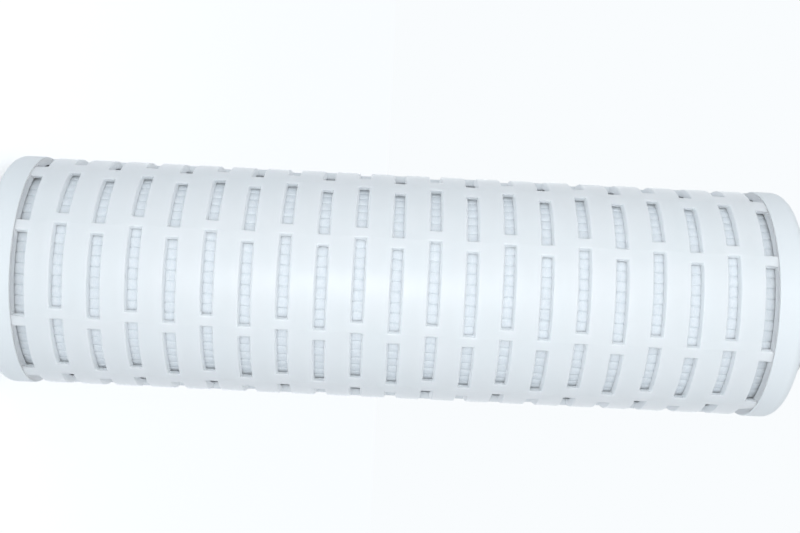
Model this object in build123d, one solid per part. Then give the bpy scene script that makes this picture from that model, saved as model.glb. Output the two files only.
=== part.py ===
from build123d import *
import math
import os

# A pleated cartridge for a water filter housing, open at both ends.
# Its axis is Z and it stands on its lower gasket at Z = 0. Sizes are in millimetres.

# whole cartridge, over the two gaskets
overall_length = 248.0
front_angle = -90.0

# outer cage: one moulded tube with rows of slots, each row turned against the next
# a row has equal panels, one for each slide of its mould, and three slots in a panel
cage_radius = 35.0
cage_wall = 2.3
panels = 3
row_pitch = 10.82
row_stagger = 4.6
slot_width = 3.7
middle_slot_length = 25.4
rib_width = 3.2
panel_rib_width = 6.4
panel_rib_root = 1.8
end_band = 0.1
spigot_length = 3.0
spigot_step = 1.2

# inner core: a stiff tube with upright windows
bore_radius = 14.0
core_relief = 0.4
core_wall = 2.1
core_row_pitch = 31.0
core_end_band = 3.0
windows_per_row = 6
window_width = 6.0
window_height = 24.0

# pleated sheet between the core and the cage
pleat_count = 64
sheet_thickness = 0.6
fold_width = 2.76
valley_width = 0.24

# end caps, welded over the ends of the cage, the sheet and the core
cap_lip = 0.3
cap_floor = 5.7
cap_corner = 3.0
core_seat_depth = 1.5
collar_height = 2.0
collar_wall = 2.0

# flat gaskets, let into the collars
gasket_radius = 24.0
gasket_hole = 15.0
gasket_stand = 3.0
gasket_recess = 1.2

# clearances
skirt_gap = 0.1
core_gap = 0.1
gasket_gap = 0.1
pleat_gap = 0.3

# heights and radii that follow from the sizes above
collar_face = gasket_stand
gasket_seat = collar_face + gasket_recess
cap_face = collar_face + collar_height
cage_end = cap_face + cap_floor
shoulder = cage_end + spigot_length
mid_height = overall_length / 2
cage_bore = cage_radius - cage_wall
spigot_radius = cage_radius - spigot_step
core_bore = bore_radius + core_relief
core_radius = core_bore + core_wall
core_end = cage_end - core_seat_depth
slot_rows = int((overall_length - 2 * shoulder - 2 * end_band - slot_width) / row_pitch) + 1
core_rows = int((overall_length - 2 * core_end - 2 * core_end_band - window_height) / core_row_pitch) + 1


def revolved(points):
    """A solid turned about Z from (radius, height) points."""
    return revolve(Plane.XZ * make_face(Polyline(*points, close=True)), Axis.Z)


def mirrored_points(points):
    """The points of a lower end, and the same again for the upper end."""
    return points + [(radius, overall_length - height) for radius, height in reversed(points)]


def row_height(row, rows, pitch):
    """The height of one of some rows that are spread evenly about the middle."""
    return mid_height + (row - (rows - 1) / 2) * pitch


def panel_edge(radius, rib):
    """The point at this radius where the rib between two panels, this wide there, meets a side slot."""
    angle = math.pi / panels - rib / radius / 2
    return Vector(radius * math.cos(angle), radius * math.sin(angle))


def slots_of_a_row():
    """One row of slots. The middle ones are wedges, and the walls of the side ones let the slide out."""
    reach = 2 * cage_radius
    middle = middle_slot_length / cage_radius / 2
    wedge = make_face(Polyline(
        (0, 0),
        (reach, -reach * math.tan(middle)),
        (reach, reach * math.tan(middle)),
        close=True,
    ))
    near_side = cage_radius * math.sin(middle + rib_width / cage_radius)
    edge = panel_edge(cage_radius, panel_rib_width)
    root = panel_edge(cage_bore, panel_rib_root)
    wall = (edge - root).normalized()
    inner_end = root - wall * cage_wall
    outer_end = edge + wall * reach
    side = make_face(Polyline(
        (inner_end.X, near_side),
        (outer_end.X, near_side),
        (outer_end.X, outer_end.Y),
        (inner_end.X, inner_end.Y),
        close=True,
    ))
    panel_slots = [
        Pos(0, 0, -slot_width / 2) * extrude(plan, slot_width)
        for plan in (wedge, side, mirror(side, about=Plane.XZ))
    ]
    return [Rot(0, 0, 360 / panels * panel) * slot for panel in range(panels) for slot in panel_slots]


def outer_cage():
    tube = revolved(mirrored_points([
        (cage_bore, cage_end),
        (spigot_radius, cage_end),
        (spigot_radius, shoulder),
        (cage_radius, shoulder),
    ]))
    row_slots = slots_of_a_row()
    slots = []
    for row in range(slot_rows):
        side = 1 if row % 2 == 0 else -1
        turn = Rot(0, 0, front_angle + side * row_stagger / 2)
        slots += [Pos(0, 0, row_height(row, slot_rows, row_pitch)) * turn * slot for slot in row_slots]
    return tube - slots


def inner_core():
    tube = revolved([
        (core_bore, core_end),
        (core_radius, core_end),
        (core_radius, overall_length - core_end),
        (core_bore, overall_length - core_end),
    ])
    turn = 360 / windows_per_row
    cutter = Pos(core_radius, 0, 0) * Box(2 * core_wall + core_radius / 2, window_width, window_height)
    windows = []
    for row in range(core_rows):
        height = row_height(row, core_rows, core_row_pitch)
        for column in range(windows_per_row):
            windows.append(Pos(0, 0, height) * Rot(0, 0, (column + row % 2 / 2) * turn) * cutter)
    return tube - windows


def pleat_outline(depth):
    """The closed zigzag that lies this deep under the upstream face of the sheet."""
    half_turn = math.pi / pleat_count
    tip = cage_bore - pleat_gap
    valley = core_radius + pleat_gap + sheet_thickness
    valley_half = valley * math.sin(half_turn) - valley_width / 2
    slope = (fold_width / 2 - valley_half) / (tip - valley)
    inward = depth * math.hypot(1, slope)
    corners = []
    for radius, side in ((valley, -1), (tip, -1), (tip, 1), (valley, 1)):
        level = radius - depth
        half_width = valley_half + (level - valley) * slope - inward
        corners.append((level, side * half_width))
    points = []
    for pleat in range(pleat_count):
        turn = math.radians(front_angle) + 2 * half_turn * pleat
        for x, y in corners:
            points.append((x * math.cos(turn) - y * math.sin(turn), x * math.sin(turn) + y * math.cos(turn)))
    return make_face(Polyline(*points, close=True))


def pleated_sheet():
    section = pleat_outline(0) - pleat_outline(sheet_thickness)
    return Pos(0, 0, cage_end) * extrude(section, overall_length - 2 * cage_end)


def lower_end_cap():
    recess_radius = gasket_radius + gasket_gap
    cap_radius = cage_radius + cap_lip
    bevel = cap_corner * (1 - math.sqrt(0.5))
    return revolved([
        (bore_radius, gasket_seat),
        (recess_radius, gasket_seat),
        (recess_radius, collar_face),
        (recess_radius + collar_wall, collar_face),
        (recess_radius + collar_wall, cap_face),
        (cap_radius - cap_corner, cap_face),
        (cap_radius - bevel, cap_face + bevel),
        (cap_radius, cap_face + cap_corner),
        (cap_radius, shoulder),
        (spigot_radius + skirt_gap, shoulder),
        (spigot_radius + skirt_gap, cage_end),
        (core_radius + core_gap, cage_end),
        (core_radius + core_gap, core_end),
        (bore_radius, core_end),
    ])


def lower_gasket():
    return revolved([
        (gasket_hole, 0),
        (gasket_radius, 0),
        (gasket_radius, gasket_seat),
        (gasket_hole, gasket_seat),
    ])


def at_upper_end(piece):
    return mirror(piece, about=Plane.XY.offset(mid_height))


nodes = {
    "outer_cage": outer_cage(),
    "pleated_sheet": pleated_sheet(),
    "inner_core": inner_core(),
    "lower_end_cap": lower_end_cap(),
    "upper_end_cap": at_upper_end(lower_end_cap()),
    "lower_gasket": lower_gasket(),
    "upper_gasket": at_upper_end(lower_gasket()),
}

os.makedirs("parts", exist_ok=True)
for name, shape in nodes.items():
    export_step(shape, f"parts/{name}.step")
print(f"overall length {overall_length:.2f} mm, {len(nodes)} pieces")
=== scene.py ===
import bpy, math
from mathutils import Matrix, Vector, noise


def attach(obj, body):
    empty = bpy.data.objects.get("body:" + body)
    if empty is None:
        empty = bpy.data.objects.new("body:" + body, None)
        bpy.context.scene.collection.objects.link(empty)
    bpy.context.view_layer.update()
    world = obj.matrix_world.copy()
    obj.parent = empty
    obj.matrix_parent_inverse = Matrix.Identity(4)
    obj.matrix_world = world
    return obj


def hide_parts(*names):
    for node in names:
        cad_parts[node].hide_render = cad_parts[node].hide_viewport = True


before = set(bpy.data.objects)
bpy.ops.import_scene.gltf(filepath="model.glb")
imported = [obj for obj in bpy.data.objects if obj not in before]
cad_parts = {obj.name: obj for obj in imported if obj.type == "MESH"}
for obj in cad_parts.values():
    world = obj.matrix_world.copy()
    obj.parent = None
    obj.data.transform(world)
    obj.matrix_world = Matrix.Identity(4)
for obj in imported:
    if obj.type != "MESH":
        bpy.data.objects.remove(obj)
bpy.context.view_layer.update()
print("frame loaded")

mm = 0.001
scene = bpy.context.scene
scene.view_settings.view_transform = "Standard"

# sizes that several pieces share, in millimetres
whole = {
    "length": 248.0,
    "shoulder": 13.7,  # height of the cap's skirt, where the bare cage starts
    "cageEnd": 10.7,
    "front": -90.0,  # the direction that a panel's middle slot faces
}

# how meshes are finished
making = {
    "near": 0.01,  # millimetres within which two places count as one
    "sharp": 40.0,  # degrees from which an edge counts as sharp
    "roundSegments": 3,
    "evenWeight": 80,
}


def objectMode():
    if bpy.context.object and bpy.context.object.mode != "OBJECT":
        bpy.ops.object.mode_set(mode="OBJECT")


def editMode():
    bpy.ops.object.mode_set(mode="EDIT")


def deselectAll():
    objectMode()
    bpy.ops.object.select_all(action="DESELECT")


def settle(name):
    # the new primitive gets its name, and its place goes into its mesh
    piece = bpy.context.object
    piece.name = name
    piece.data.name = name
    piece.data.transform(piece.matrix_world)
    piece.matrix_world = Matrix.Identity(4)
    return piece


def selectFaces(piece, wanted):
    objectMode()
    bpy.context.tool_settings.mesh_select_mode = (False, False, True)
    for face in piece.data.polygons:
        face.select = wanted(face.center)
    editMode()


def applyModifier(piece, kind, **settings):
    objectMode()
    modifier = piece.modifiers.new(kind.lower(), kind)
    for name, value in settings.items():
        setattr(modifier, name, value)
    bpy.ops.object.modifier_apply(modifier=modifier.name)


def faceOutwards():
    editMode()
    bpy.ops.mesh.select_all(action="SELECT")
    bpy.ops.mesh.normals_make_consistent(inside=False)
    objectMode()


def smoothWithEvenNormals(piece):
    bpy.ops.object.shade_smooth()
    applyModifier(piece, "WEIGHTED_NORMAL", mode="FACE_AREA", weight=making["evenWeight"])


# camera: the photograph's view, rolled so that the standing cartridge lies across the picture
camera = {
    "place": (0.0, -371.64, 120.84),
    "right": (-0.04865, -0.01252, 0.99874),
    "down": (0.99867, 0.01653, 0.04885),
    "lens": 52.97,
    "sensor": 36.0,
    "clip": (0.01, 50.0),
}


def setCamera():
    right = Vector(camera["right"]).normalized()
    back = right.cross(-Vector(camera["down"])).normalized()
    up = back.cross(right)
    data = bpy.data.cameras.new("camera")
    data.lens = camera["lens"]
    data.sensor_width = camera["sensor"]
    data.clip_start, data.clip_end = camera["clip"]
    eye = bpy.data.objects.new("camera", data)
    scene.collection.objects.link(eye)
    turn = Matrix((right, up, back)).transposed().to_4x4()
    eye.matrix_world = Matrix.Translation(Vector(camera["place"]) * mm) @ turn
    scene.camera = eye


setCamera()
print("camera set")

# outer cage, one moulded tube; its slots are as long as the slides of its mould allow
cage = {
    "radius": 35.0,
    "wall": 2.3,
    "columnStep": 3.75,  # degrees between the points round the tube
    "panels": 3,
    "rows": 21,
    "pitch": 10.82,
    "stagger": 4.6,
    "slotWidth": 3.7,
    "middleSlot": 25.4,
    "rib": 3.2,
    "panelRib": 6.4,
    "panelRibRoot": 1.8,
    "spigotStep": 1.2,
    "shoulderStep": 0.2,  # a short length that becomes the face of the shoulder
    "draft": 0.5,  # how much narrower a slot is at the bore, on each side
    "edgeRound": 0.35,
}


def rowHeight(row):
    return whole["length"] / 2 + (row - (cage["rows"] - 1) / 2) * cage["pitch"]


def nearestRow(height):
    row = round((height - whole["length"] / 2) / cage["pitch"] + (cage["rows"] - 1) / 2)
    return min(max(row, 0), cage["rows"] - 1)


def rowTurn(row):
    return whole["front"] + (1 if row % 2 == 0 else -1) * cage["stagger"] / 2


def slotEdges():
    # the ends of a panel's slots outside, in degrees from the panel's middle
    middle = math.degrees(cage["middleSlot"] / cage["radius"]) / 2
    near = middle + math.degrees(cage["rib"] / cage["radius"])
    far = 180 / cage["panels"] - math.degrees(cage["panelRib"] / cage["radius"]) / 2
    return middle, near, far


def slotRoots():
    # the same at the bore, where the side slots' walls follow the slide
    bore = cage["radius"] - cage["wall"]
    middle, near, far = slotEdges()
    nearRoot = math.degrees(math.asin(cage["radius"] * math.sin(math.radians(near)) / bore))
    farRoot = 180 / cage["panels"] - math.degrees(cage["panelRibRoot"] / bore) / 2
    return middle, nearRoot, farRoot


def panelAngle(point, row):
    # the angle from the middle of the nearest panel, in degrees
    panel = 360 / cage["panels"]
    angle = math.degrees(math.atan2(point.y, point.x)) - rowTurn(row)
    return (angle + panel / 2) % panel - panel / 2


def inSlot(point):
    row = nearestRow(point.z / mm)
    middle, near, far = slotEdges()
    angle = abs(panelAngle(point, row))
    inWidth = abs(point.z / mm - rowHeight(row)) < cage["slotWidth"] / 2
    return inWidth and (angle < middle or near < angle < far)


def leanWall(point):
    # a point of the bore moves round so that the slots' end walls lean as the slides need
    row = nearestRow(point.z / mm)
    angle = panelAngle(point, row)
    outside = (0, *slotEdges(), 180 / cage["panels"])
    inside = (0, *slotRoots(), 180 / cage["panels"])
    for index in range(len(outside) - 1):
        if outside[index] <= abs(angle) <= outside[index + 1]:
            share = (abs(angle) - outside[index]) / (outside[index + 1] - outside[index])
            moved = inside[index] + share * (inside[index + 1] - inside[index])
            turn = math.copysign(math.radians(moved - abs(angle)), angle)
            return Matrix.Rotation(turn, 3, "Z") @ point
    return point


def cutLevels(piece):
    # round cuts at the slots' edges, at the shoulders, and just past them for the step
    heights = [rowHeight(row) + side * cage["slotWidth"]
               for row in range(cage["rows"]) for side in (-0.5, 0.5)]
    for shoulder in (whole["shoulder"], whole["shoulder"] - cage["shoulderStep"]):
        heights += [shoulder, whole["length"] - shoulder]
    for height in heights:
        selectFaces(piece, lambda centre: True)
        bpy.ops.mesh.bisect(plane_co=(0, 0, height * mm), plane_no=(0, 0, 1))


def columnTurns():
    # a column of points at every slot end of both kinds of row, and even steps between
    cuts = sorted((rowTurn(row) + 360 / cage["panels"] * panel + side * end) % 360
                  for row in (0, 1) for panel in range(cage["panels"])
                  for side in (-1, 1) for end in slotEdges())
    turns = []
    for start, end in zip(cuts, cuts[1:] + [cuts[0] + 360]):
        steps = max(1, round((end - start) / cage["columnStep"]))
        turns += [(start + (end - start) * step / steps) % 360 for step in range(steps)]
    return sorted(turns)


def placeColumns(piece, turns):
    # both rims are numbered from just before the angle 0, so that their columns pair up
    middle = whole["length"] / 2 * mm
    for end in (-1, 1):
        rim = [vertex for vertex in piece.data.vertices if (vertex.co.z - middle) * end > 0]
        rim.sort(key=lambda vertex: (math.atan2(vertex.co.y, vertex.co.x) + 0.01) % (2 * math.pi))
        for vertex, turn in zip(rim, turns):
            turn = math.radians(turn)
            vertex.co.xy = Vector((math.cos(turn), math.sin(turn))) * cage["radius"] * mm


def shapeWall(piece):
    # the bore is straight, the slots narrow towards it, and the outside steps in at the shoulders
    bore = (cage["radius"] - cage["wall"]) * mm
    for vertex in piece.data.vertices:
        upper = vertex.co.z > whole["length"] / 2 * mm
        fromEnd = (whole["length"] - vertex.co.z / mm) if upper else vertex.co.z / mm
        under = whole["shoulder"] - fromEnd
        if vertex.co.xy.length < bore + cage["wall"] / 2 * mm:
            vertex.co.xy *= bore / vertex.co.xy.length
            if under < -making["near"]:
                vertex.co = leanWall(vertex.co)
                offRow = vertex.co.z / mm - rowHeight(nearestRow(vertex.co.z / mm))
                if abs(abs(offRow) - cage["slotWidth"] / 2) < making["near"]:
                    vertex.co.z -= math.copysign(cage["draft"] * mm, offRow)
        elif under > making["near"]:
            vertex.co.xy *= (cage["radius"] - cage["spigotStep"]) * mm / vertex.co.xy.length
            if under < cage["shoulderStep"] + making["near"]:
                shoulder = whole["length"] - whole["shoulder"] if upper else whole["shoulder"]
                vertex.co.z = shoulder * mm


def markRounded(piece):
    # every sharp edge is rounded, but for those next to the caps, where the land is too thin
    editMode()
    bpy.context.tool_settings.mesh_select_mode = (False, True, False)
    bpy.ops.mesh.select_all(action="DESELECT")
    bpy.ops.mesh.edges_select_sharp(sharpness=math.radians(making["sharp"]))
    objectMode()
    ends = rowHeight(0) - cage["slotWidth"] / 2 + making["near"]
    places = piece.data.vertices
    marks = piece.data.attributes.new("bevel_weight_edge", "FLOAT", "EDGE")
    for edge in piece.data.edges:
        heights = [places[index].co.z / mm for index in edge.vertices]
        clear = max(heights) > ends and min(heights) < whole["length"] - ends
        marks.data[edge.index].value = float(edge.select and clear)


def makeCage():
    deselectAll()
    depth = whole["length"] - 2 * whole["cageEnd"]
    turns = columnTurns()
    bpy.ops.mesh.primitive_cylinder_add(
        vertices=len(turns), radius=cage["radius"] * mm, depth=depth * mm,
        end_fill_type="NOTHING", location=(0, 0, whole["length"] / 2 * mm))
    piece = settle("slotted_cage")
    placeColumns(piece, turns)
    cutLevels(piece)
    selectFaces(piece, inSlot)
    bpy.ops.mesh.delete(type="FACE")
    applyModifier(piece, "SOLIDIFY", thickness=cage["wall"] * mm, offset=-1, use_even_offset=True)
    shapeWall(piece)
    faceOutwards()
    markRounded(piece)
    applyModifier(piece, "BEVEL", width=cage["edgeRound"] * mm,
                  segments=making["roundSegments"], limit_method="WEIGHT")
    for vertex in piece.data.vertices:  # the rounding may not stand out of the tube beside the caps
        vertex.co.xy *= min(1, cage["radius"] * mm / vertex.co.xy.length)
    smoothWithEvenNormals(piece)
    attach(piece, "root")
    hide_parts("outer_cage")
    return piece


cagePiece = makeCage()
print("cage made:", len(cagePiece.data.polygons), "faces")

# pleated sheet, one strip of nonwoven folded into a ring; sizes are of its middle surface
sheet = {
    "pleats": 64,
    "thickness": 0.6,
    "tip": 32.1,
    "valley": 17.1,
    "tipHalfWidth": 1.31,
    "legHalfWidth": 0.43,  # half the space between a pleat's two legs, at the valley
    "tipDepth": 0.3,
    "tipSquareness": 2.5,
    "tipPoints": 5,
    "legPoints": 2,
    "valleyPoints": 4,
    "sections": 15,
    "lean": 0.06,  # how far a fold may stand out of line
    "sink": 0.25,  # how far a fold may stand short
    "wander": 35.0,  # length along the axis over which a fold changes
    "foldApart": 7.3,  # far enough apart in the noise that folds don't follow each other
    "sinkApart": 9.1,
}


def halfPleat():
    # (radius, sideways) from the middle of a fold's tip to the middle of the valley beside it
    pitchHalf = math.pi / sheet["pleats"]
    power = 2 / sheet["tipSquareness"]
    shoulder = sheet["tip"] - sheet["tipDepth"]
    fold = sheet["valley"] * math.tan(pitchHalf) - sheet["legHalfWidth"]
    points = []
    for index in range(sheet["tipPoints"]):
        turn = math.pi / 2 * index / (sheet["tipPoints"] - 1)
        points.append((shoulder + sheet["tipDepth"] * abs(math.cos(turn)) ** power,
                       sheet["tipHalfWidth"] * math.sin(turn) ** power))
    for index in range(sheet["legPoints"]):
        share = (index + 1) / (sheet["legPoints"] + 1)
        points.append((shoulder + share * (sheet["valley"] + fold - shoulder),
                       sheet["tipHalfWidth"] + share * (sheet["legHalfWidth"] - sheet["tipHalfWidth"])))
    for index in range(sheet["valleyPoints"]):
        turn = math.pi / 2 * index / (sheet["valleyPoints"] - 1)
        points.append((sheet["valley"] + fold * (1 - math.sin(turn)),
                       sheet["legHalfWidth"] + fold * (1 - math.cos(turn))))
    return points


def pleatRing():
    half = halfPleat()
    pleat = [(radius, -sideways) for radius, sideways in reversed(half[1:])] + half[:-1]
    ring = []
    for index in range(sheet["pleats"]):
        turn = Matrix.Rotation(math.radians(whole["front"]) + 2 * math.pi * index / sheet["pleats"], 2)
        ring += [turn @ Vector(point) for point in pleat]
    return ring


def wanderFolds(piece):
    # each fold stands a little out of line and a little short, and changes slowly along the axis
    span = sheet["tip"] - sheet["valley"]
    for vertex in piece.data.vertices:
        angle = math.atan2(vertex.co.y, vertex.co.x) - math.radians(whole["front"])
        pleat = round(angle / (2 * math.pi) * sheet["pleats"]) % sheet["pleats"]
        outwards = max(0, (vertex.co.xy.length / mm - sheet["valley"]) / span)
        along = vertex.co.z / mm / sheet["wander"]
        fold = pleat * sheet["foldApart"]
        lean = noise.noise((fold, along, 0)) * sheet["lean"] * 2 * outwards
        sink = (0.5 + noise.noise((fold, along, sheet["sinkApart"])) * 0.9) * sheet["sink"] * outwards
        radial = Vector((vertex.co.x, vertex.co.y, 0)).normalized()
        vertex.co += (Vector((-radial.y, radial.x, 0)) * lean - radial * sink) * mm


def makeSheet():
    deselectAll()
    ring = pleatRing()
    low = whole["cageEnd"] * mm
    step = (whole["length"] - 2 * whole["cageEnd"]) / sheet["sections"] * mm
    bpy.ops.mesh.primitive_circle_add(
        vertices=len(ring), radius=sheet["tip"] * mm, location=(0, 0, low))
    piece = settle("pleated_felt")
    for vertex, point in zip(piece.data.vertices, ring):
        vertex.co.xy = point * mm
    editMode()
    bpy.ops.mesh.select_all(action="SELECT")
    for section in range(sheet["sections"]):
        bpy.ops.mesh.extrude_edges_move(TRANSFORM_OT_translate={"value": (0, 0, step)})
    objectMode()
    wanderFolds(piece)
    faceOutwards()
    applyModifier(piece, "SOLIDIFY", thickness=sheet["thickness"] * mm, offset=0, use_even_offset=True)
    bpy.ops.object.shade_smooth()
    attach(piece, "root")
    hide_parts("pleated_sheet")
    return piece


sheetPiece = makeSheet()


# end caps and gaskets are turned shapes: a closed outline of (radius, height) goes round the axis
def turnOutline(name, outline, columns, edgeRound):
    deselectAll()
    start = outline[0]
    bpy.ops.mesh.primitive_circle_add(
        vertices=columns, radius=start[0] * mm, location=(0, 0, start[1] * mm))
    piece = settle(name)
    editMode()
    bpy.ops.mesh.select_all(action="SELECT")
    for before, after in zip(outline, outline[1:] + outline[:1]):
        rise = (after[1] - before[1]) * mm
        bpy.ops.mesh.extrude_edges_move(TRANSFORM_OT_translate={"value": (0, 0, rise)})
        size = after[0] / before[0]
        bpy.ops.transform.resize(value=(size, size, 1), center_override=(0, 0, after[1] * mm))
    bpy.ops.mesh.select_all(action="SELECT")
    bpy.ops.mesh.remove_doubles(threshold=making["near"] * mm)
    faceOutwards()
    applyModifier(piece, "BEVEL", width=edgeRound * mm, segments=making["roundSegments"],
                  limit_method="ANGLE", angle_limit=math.radians(making["sharp"]))
    smoothWithEvenNormals(piece)
    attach(piece, "root")
    return piece


def turnedOver(piece, name):
    # the same shape for the other end, mirrored about the middle of the length
    other = piece.copy()
    other.data = piece.data.copy()
    other.name = other.data.name = name
    scene.collection.objects.link(other)
    middle = whole["length"] / 2 * mm
    other.data.transform(Matrix.Translation((0, 0, 2 * middle)) @ Matrix.Scale(-1, 4, (0, 0, 1)))
    deselectAll()
    bpy.context.view_layer.objects.active = other
    other.select_set(True)
    faceOutwards()
    smoothWithEvenNormals(other)
    return other


cap = {
    "radius": 35.3,
    "corner": 3.0,
    "cornerPoints": 8,
    "bore": 14.0,
    "face": 5.0,
    "collarFace": 3.0,
    "collarInside": 24.1,
    "collarOutside": 26.1,
    "gasketSeat": 4.2,
    "coreSocket": 16.6,
    "coreEnd": 9.2,
    "spigotSocket": 33.9,
    "columns": 128,
    "edgeRound": 0.35,
}


def capOutline():
    corner = []
    for index in range(cap["cornerPoints"] + 1):
        turn = math.pi / 2 * index / cap["cornerPoints"]
        corner.append((cap["radius"] - cap["corner"] * (1 - math.sin(turn)),
                       cap["face"] + cap["corner"] * (1 - math.cos(turn))))
    return [
        (cap["bore"], cap["gasketSeat"]),
        (cap["collarInside"], cap["gasketSeat"]),
        (cap["collarInside"], cap["collarFace"]),
        (cap["collarOutside"], cap["collarFace"]),
        (cap["collarOutside"], cap["face"]),
        *corner,
        (cap["radius"], whole["shoulder"]),
        (cap["spigotSocket"], whole["shoulder"]),
        (cap["spigotSocket"], whole["cageEnd"]),
        (cap["coreSocket"], whole["cageEnd"]),
        (cap["coreSocket"], cap["coreEnd"]),
        (cap["bore"], cap["coreEnd"]),
    ]


lowerCap = turnOutline("lower_cap", capOutline(), cap["columns"], cap["edgeRound"])
upperCap = turnedOver(lowerCap, "upper_cap")
for piece, node in ((lowerCap, "lower_end_cap"), (upperCap, "upper_end_cap")):
    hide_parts(node)
print("caps made:", len(lowerCap.data.polygons), "faces each")

gasket = {
    "inside": 15.0,
    "outside": 24.0,
    "height": 4.2,
    "columns": 96,
    "edgeRound": 0.5,
}


def gasketOutline():
    return [
        (gasket["inside"], 0),
        (gasket["outside"], 0),
        (gasket["outside"], gasket["height"]),
        (gasket["inside"], gasket["height"]),
    ]


lowerGasket = turnOutline("lower_gasket_ring", gasketOutline(), gasket["columns"], gasket["edgeRound"])
upperGasket = turnedOver(lowerGasket, "upper_gasket_ring")
for piece, node in ((lowerGasket, "lower_gasket"), (upperGasket, "upper_gasket")):
    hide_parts(node)
print("gaskets made:", len(lowerGasket.data.polygons), "faces each")


# materials
def linearColour(hexCode):
    # sRGB hex to the linear values that shaders take
    values = [int(hexCode[i:i + 2], 16) / 255 for i in (1, 3, 5)]
    return tuple(v / 12.92 if v <= 0.04045 else ((v + 0.055) / 1.055) ** 2.4 for v in values) + (1.0,)


def addNode(owner, kind, values=None, links=None, **settings):
    # the owner is a material or the world; values and links are by socket name or number,
    # and a link is (node, its output)
    node = owner.node_tree.nodes.new(kind)
    for name, value in settings.items():
        setattr(node, name, value)
    for socket, value in (values or {}).items():
        node.inputs[socket].default_value = value
    for socket, (other, output) in (links or {}).items():
        owner.node_tree.links.new(other.outputs[output], node.inputs[socket])
    return node


def join(material, node, output, socket):
    shader = material.node_tree.nodes["Principled BSDF"]
    material.node_tree.links.new(node.outputs[output], shader.inputs[socket])


def newMaterial(name, values):
    # the values are the same all over the surface, so they go on the shader's own sockets
    material = bpy.data.materials.new(name)
    material.use_nodes = True
    shader = material.node_tree.nodes["Principled BSDF"]
    for socket, value in values.items():
        shader.inputs[socket].default_value = value
    place = addNode(material, "ShaderNodeTexCoord")
    return material, place


def dress(material, *pieces):
    for piece in pieces:
        piece.data.materials.clear()
        piece.data.materials.append(material)


def lumps(size):
    # the scale of a noise whose lumps are this many millimetres across
    return 1 / (size * mm)


def addTint(material, factor, look):
    # between the look's pale and deep colours, by a factor from 0 to 1
    tint = addNode(material, "ShaderNodeMix",
                   {6: linearColour(look["pale"]), 7: linearColour(look["deep"])},
                   {0: factor}, data_type="RGBA")
    join(material, tint, 2, "Base Color")


def addRelief(material, heights):
    # heights are (node, its output, depth in millimetres), the broadest first
    bump = None
    for node, output, depth in heights:
        links = {"Height": (node, output)}
        if bump:
            links["Normal"] = (bump, 0)
        bump = addNode(material, "ShaderNodeBump", {"Strength": 1.0, "Distance": depth * mm}, links)
    join(material, bump, 0, "Normal")


def addGloss(material, factor, look):
    # a noise stays near its middle, so its middle part gives the whole range of roughness
    gloss = addNode(material, "ShaderNodeMapRange", {
        "From Min": 0.3, "From Max": 0.7, "To Min": look["smooth"], "To Max": look["rough"],
    }, {"Value": factor})
    join(material, gloss, 0, "Roughness")


# natural polypropylene, injection moulded: milky and satin, and a little uneven where it cooled
cageLook = {
    "pale": "#F5F9FC",
    "deep": "#F0F5FA",
    "smooth": 0.32,
    "rough": 0.4,
    "cloud": 22.0,
    "sinkMark": 9.0,
    "sinkDepth": 0.05,
    "grain": 0.45,
    "grainDepth": 0.003,
    "lineWidth": 0.5,
    "lineHeight": 0.06,
    "milkiness": 1.0,
    "milkDepth": 1.5,
    "bloom": 1.0,  # how much paler the milky plastic is where it is seen at a glancing angle
}


def mouldedCagePolypropylene():
    look = cageLook
    material, place = newMaterial("mouldedCagePolypropylene", {
        "IOR": 1.49,
        "Subsurface Weight": look["milkiness"],
        "Subsurface Radius": (1.0, 1.0, 1.0),
        "Subsurface Scale": look["milkDepth"] * mm,
        "Sheen Weight": look["bloom"],
        "Sheen Roughness": 0.35,
    })
    cloud = addNode(material, "ShaderNodeTexNoise", {"Scale": lumps(look["cloud"]), "Detail": 3.0},
                    {"Vector": (place, "Object")})
    sink = addNode(material, "ShaderNodeTexNoise", {"Scale": lumps(look["sinkMark"]), "Detail": 1.0},
                   {"Vector": (place, "Object")})
    fine = addNode(material, "ShaderNodeTexNoise", {"Scale": lumps(look["grain"]), "Detail": 3.0},
                   {"Vector": (place, "Object")})
    # where two slides of the mould met, a fine raised line runs the whole length
    parts = addNode(material, "ShaderNodeSeparateXYZ", links={0: (place, "Object")})
    angle = addNode(material, "ShaderNodeMath", links={0: (parts, "Y"), 1: (parts, "X")},
                    operation="ARCTAN2")
    front, half = math.radians(whole["front"]), math.pi / cage["panels"]
    inPanel = addNode(material, "ShaderNodeMath", {1: front + half, 2: front - half}, {0: (angle, 0)},
                      operation="WRAP")
    offMiddle = addNode(material, "ShaderNodeMath", {1: front}, {0: (inPanel, 0)}, operation="SUBTRACT")
    eitherSide = addNode(material, "ShaderNodeMath", links={0: (offMiddle, 0)}, operation="ABSOLUTE")
    width = look["lineWidth"] / cage["radius"] / 2
    line = addNode(material, "ShaderNodeMapRange", {"From Min": half - width, "From Max": half},
                   {"Value": (eitherSide, 0)}, interpolation_type="SMOOTHSTEP")
    addTint(material, (cloud, 0), look)
    addGloss(material, (fine, 0), look)
    addRelief(material, [(sink, 0, look["sinkDepth"]), (line, 0, look["lineHeight"]),
                         (fine, 0, look["grainDepth"])])
    return material


# the caps are moulded of the same, in a mould that was turned on a lathe, and their edges are welded
capLook = {
    "pale": "#F9FDFD",
    "deep": "#F4F9FA",
    "smooth": 0.32,
    "rough": 0.46,
    "cloud": 16.0,
    "ring": 0.5,
    "ringDepth": 0.012,
    "grain": 0.6,
    "grainDepth": 0.008,
    "milkiness": 0.2,
    "milkDepth": 1.5,
}


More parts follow.
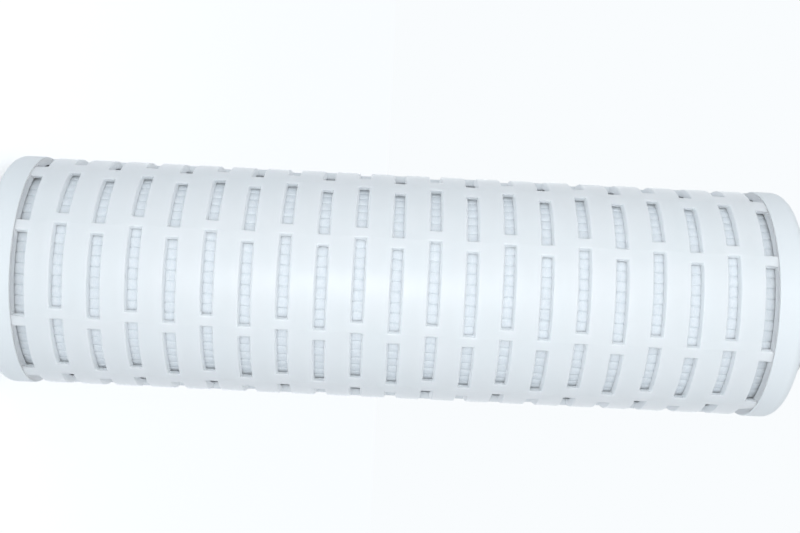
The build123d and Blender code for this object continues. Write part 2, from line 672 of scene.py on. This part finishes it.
def mouldedCapPolypropylene():
    look = capLook
    material, place = newMaterial("mouldedCapPolypropylene", {
        "IOR": 1.49,
        "Subsurface Weight": look["milkiness"],
        "Subsurface Radius": (1.0, 1.0, 1.0),
        "Subsurface Scale": look["milkDepth"] * mm,
    })
    cloud = addNode(material, "ShaderNodeTexNoise", {"Scale": lumps(look["cloud"]), "Detail": 3.0},
                    {"Vector": (place, "Object")})
    fine = addNode(material, "ShaderNodeTexNoise", {"Scale": lumps(look["grain"]), "Detail": 3.0},
                   {"Vector": (place, "Object")})
    # the mould's turning marks go round the axis: only the radius and the height change them
    parts = addNode(material, "ShaderNodeSeparateXYZ", links={0: (place, "Object")})
    flat = addNode(material, "ShaderNodeCombineXYZ", links={0: (parts, "X"), 1: (parts, "Y")})
    radius = addNode(material, "ShaderNodeVectorMath", links={0: (flat, 0)}, operation="LENGTH")
    profile = addNode(material, "ShaderNodeCombineXYZ", links={0: (radius, "Value"), 2: (parts, "Z")})
    rings = addNode(material, "ShaderNodeTexNoise", {"Scale": lumps(look["ring"]), "Detail": 2.0},
                    {"Vector": (profile, 0)})
    addTint(material, (cloud, 0), look)
    addGloss(material, (rings, 0), look)
    addRelief(material, [(rings, 0, look["ringDepth"]), (fine, 0, look["grainDepth"])])
    return material


# the core is moulded of unpolished polypropylene, behind the sheet
coreLook = {
    "pale": "#E6EDF2",
    "deep": "#DCE4E9",
    "smooth": 0.45,
    "rough": 0.6,
    "cloud": 18.0,
    "flow": 2.0,
    "flowDepth": 0.03,
    "grain": 0.5,
    "grainDepth": 0.02,
}


def mouldedCorePolypropylene():
    look = coreLook
    material, place = newMaterial("mouldedCorePolypropylene", {"IOR": 1.49})
    cloud = addNode(material, "ShaderNodeTexNoise", {"Scale": lumps(look["cloud"]), "Detail": 3.0},
                    {"Vector": (place, "Object")})
    # the melt flowed along the tube and left faint streaks
    along = addNode(material, "ShaderNodeMapping", {"Scale": (1.0, 1.0, 0.08)},
                    {"Vector": (place, "Object")})
    flow = addNode(material, "ShaderNodeTexNoise", {"Scale": lumps(look["flow"]), "Detail": 2.0},
                   {"Vector": (along, 0)})
    fine = addNode(material, "ShaderNodeTexNoise", {"Scale": lumps(look["grain"]), "Detail": 3.0},
                   {"Vector": (place, "Object")})
    addTint(material, (cloud, 0), look)
    addGloss(material, (flow, 0), look)
    addRelief(material, [(flow, 0, look["flowDepth"]), (fine, 0, look["grainDepth"])])
    return material


# nonwoven of blown polypropylene fibres, pressed between warm rollers: matt, soft and finely flecked
feltLook = {
    "pale": "#FAFDFE",
    "deep": "#EEF3F6",
    "smooth": 0.8,
    "rough": 0.98,
    "fleck": 1.6,  # where the fibres lie thicker
    "fleckDepth": 0.05,
    "fibre": 0.22,  # coarser than real fibres, which are too fine to show
    "fibreDepth": 0.06,
}


def spunPolypropyleneFelt():
    look = feltLook
    material, place = newMaterial("spunPolypropyleneFelt", {
        "IOR": 1.45,
        "Specular IOR Level": 0.2,
        "Sheen Weight": 0.15,
        "Sheen Roughness": 0.6,
    })
    fleck = addNode(material, "ShaderNodeTexNoise", {"Scale": lumps(look["fleck"]), "Detail": 4.0},
                    {"Vector": (place, "Object")})
    # fibres lie mostly along the sheet's run through the rollers, which is round the cartridge
    along = addNode(material, "ShaderNodeMapping", {"Scale": (0.25, 0.25, 1.0)},
                    {"Vector": (place, "Object")})
    fibre = addNode(material, "ShaderNodeTexNoise",
                    {"Scale": lumps(look["fibre"]), "Detail": 3.0, "Distortion": 0.6},
                    {"Vector": (along, 0)})
    both = addNode(material, "ShaderNodeMath", {1: 0.5}, {0: (fleck, 0), 2: (fibre, 0)},
                   operation="MULTIPLY_ADD")
    spread = addNode(material, "ShaderNodeMapRange", {"From Min": 0.55, "From Max": 0.95},
                     {"Value": (both, 0)})
    addTint(material, (spread, 0), look)
    addGloss(material, (fibre, 0), look)
    addRelief(material, [(fleck, 0, look["fleckDepth"]), (fibre, 0, look["fibreDepth"])])
    return material


# silicone rubber, cut from sheet by a die: matt, slightly dusty and grey-white
gasketLook = {
    "pale": "#E2E3DF",
    "deep": "#D3D5D1",
    "smooth": 0.55,
    "rough": 0.75,
    "cloud": 5.0,
    "dust": 0.35,
    "dustDepth": 0.02,
}


def cutSiliconeRubber():
    look = gasketLook
    material, place = newMaterial("cutSiliconeRubber", {
        "IOR": 1.41,
        "Subsurface Weight": 0.15,
        "Subsurface Radius": (1.0, 1.0, 1.0),
        "Subsurface Scale": 1.0 * mm,
    })
    cloud = addNode(material, "ShaderNodeTexNoise", {"Scale": lumps(look["cloud"]), "Detail": 4.0},
                    {"Vector": (place, "Object")})
    dust = addNode(material, "ShaderNodeTexNoise", {"Scale": lumps(look["dust"]), "Detail": 3.0},
                   {"Vector": (place, "Object")})
    addTint(material, (cloud, 0), look)
    addGloss(material, (dust, 0), look)
    addRelief(material, [(dust, 0, look["dustDepth"])])
    return material


dress(mouldedCagePolypropylene(), cagePiece)
dress(mouldedCapPolypropylene(), lowerCap, upperCap)
dress(mouldedCorePolypropylene(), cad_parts["inner_core"])
dress(spunPolypropyleneFelt(), sheetPiece)
dress(cutSiliconeRubber(), lowerGasket, upperGasket)
print("materials made")

# a pale studio: a floor that shows white but keeps the shadow, and a soft sky
studio = {
    "floorSize": 80.0,  # metres, so that its far edge is at the horizon
    "floorDrop": 0.2,  # millimetres under the cartridge
    "floorColour": "#F9FCFE",
    "floorLift": 0.46,  # added to the lit floor where it is seen, so that it shows as the sky does
    "liftColour": "#FFFBF8",
    "skyColour": "#F9FCFE",
    "skyLight": 0.6,
    "skyLightColour": "#EFF6FE",  # a little cool, as daylight is
}

# one lamp beside the camera, and a long soft one askew to the cartridge that lights the slots' walls;
# lengths in metres, power in watts
lamps = {
    "keyLamp": {
        "start": (0.0, -0.5, 0.04), "end": (0.0, -0.5, 0.16), "width": 0.12, "power": 0.4,
    },
    "longLamp": {
        "start": (0.14, -0.4, 0.02), "end": (-0.22, -0.4, 0.45), "width": 0.2, "power": 0.42,
    },
}
lampColour = "#F8FAFC"


def addSeenBy(owner, strength):
    # 1 for rays from the camera, from gloss and through clear things, times a strength
    path = addNode(owner, "ShaderNodeLightPath")
    seen = (path, "Is Camera Ray")
    for ray in ("Is Glossy Ray", "Is Transmission Ray"):
        either = addNode(owner, "ShaderNodeMath", links={0: seen, 1: (path, ray)}, operation="MAXIMUM")
        seen = (either, 0)
    return addNode(owner, "ShaderNodeMath", {1: strength}, {0: seen}, operation="MULTIPLY")


def makeFloor():
    deselectAll()
    bpy.ops.mesh.primitive_plane_add(
        size=studio["floorSize"], location=(0, 0, -studio["floorDrop"] * mm))
    floor = settle("floor")
    material, _ = newMaterial("paintedFloor", {
        "Base Color": linearColour(studio["floorColour"]),
        "Roughness": 0.9,
        "Specular IOR Level": 0.0,
        "Emission Color": linearColour(studio["liftColour"]),
    })
    join(material, addSeenBy(material, studio["floorLift"]), 0, "Emission Strength")
    dress(material, floor)


def makeSky():
    world = bpy.data.worlds.new("studio")
    scene.world = world
    world.use_nodes = True
    world.node_tree.nodes.clear()
    light = addNode(world, "ShaderNodeBackground", {
        "Color": linearColour(studio["skyLightColour"]),
        "Strength": studio["skyLight"],
    })
    shown = addNode(world, "ShaderNodeBackground", {"Color": linearColour(studio["skyColour"])})
    mix = addNode(world, "ShaderNodeMixShader",
                  links={0: (addSeenBy(world, 1.0), 0), 1: (light, 0), 2: (shown, 0)})
    addNode(world, "ShaderNodeOutputWorld", links={0: (mix, 0)})


def addLamp(name, lamp):
    start, end = Vector(lamp["start"]), Vector(lamp["end"])
    data = bpy.data.lights.new(name, "AREA")
    data.shape = "RECTANGLE"
    data.size = lamp["width"]
    data.size_y = (end - start).length
    data.energy = lamp["power"]
    data.color = linearColour(lampColour)[:3]
    piece = bpy.data.objects.new(name, data)
    scene.collection.objects.link(piece)
    along = (end - start).normalized()
    side = along.cross(Vector((0, -1, 0))).normalized()
    turn = Matrix((side, along, side.cross(along))).transposed().to_4x4()
    piece.matrix_world = Matrix.Translation((start + end) / 2) @ turn


makeFloor()
makeSky()
for name, lamp in lamps.items():
    addLamp(name, lamp)
print("studio set")
